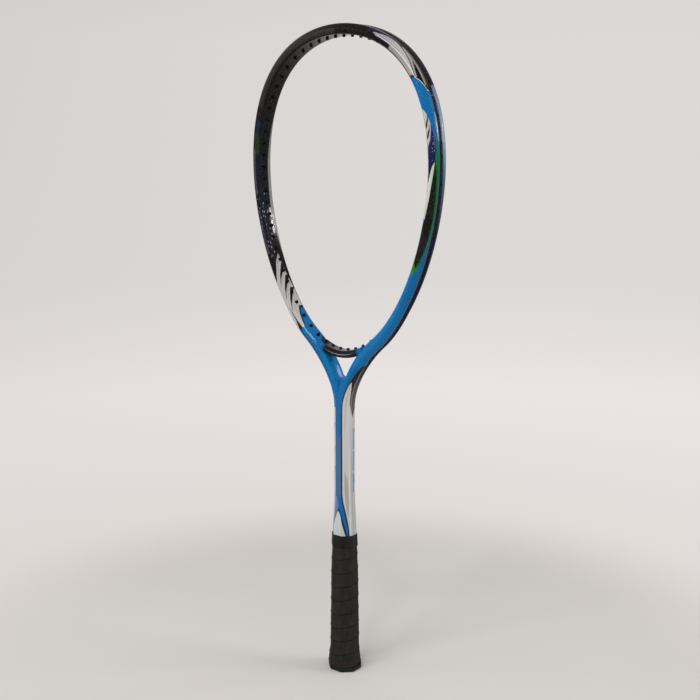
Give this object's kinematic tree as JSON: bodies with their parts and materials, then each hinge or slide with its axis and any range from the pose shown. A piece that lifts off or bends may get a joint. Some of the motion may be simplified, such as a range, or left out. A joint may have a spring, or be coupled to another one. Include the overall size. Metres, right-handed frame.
{
  "type": "soft tennis racket",
  "caption": "Unstrung one-shaft soft tennis racket: egg-shaped tubular head with grommet strips, open throat with a bridge, straight shaft and wound grip on a flared butt.",
  "frame": {"origin": "centre of the butt's flat foot, on the surface that the racket stands on", "axes": "+Z from the butt to the tip along the shaft, +X across the head, +Y through the head to its back face"},
  "size_m": [0.2422, 0.0343, 0.69],
  "materials": {
    "frame_paint": "clear-coated paint on carbon composite: blue, black, green and pearl silver",
    "bridge_paint": "clear-coated black paint",
    "grommet_nylon": "moulded nylon",
    "handle_foam": "moulded rigid foam, hidden under the grip",
    "cap_plastic": "moulded plastic with fine grain",
    "staple_steel": "plain steel wire",
    "grip_tape": "matt black polyurethane wrap with a raised seam",
    "collar_rubber": "smooth black rubber band"
  },
  "bodies": {
    "root": {"frame_tube": "frame_paint", "yoke_bridge": "bridge_paint", "head_grommet_strip": "grommet_nylon", "right_side_grommet_strip": "grommet_nylon", "left_side_grommet_strip": "grommet_nylon", "right_shoulder_grommet_strip": "grommet_nylon", "left_shoulder_grommet_strip": "grommet_nylon", "yoke_grommet_strip": "grommet_nylon", "handle_foam": "handle_foam", "shaft_end_plug": "handle_foam", "butt_cap": "cap_plastic", "butt_door": "cap_plastic", "butt_cap_staple_front": "staple_steel", "butt_cap_staple_back": "staple_steel", "grip_tape": "grip_tape", "grip_collar": "collar_rubber"}
  },
  "joints": []
}
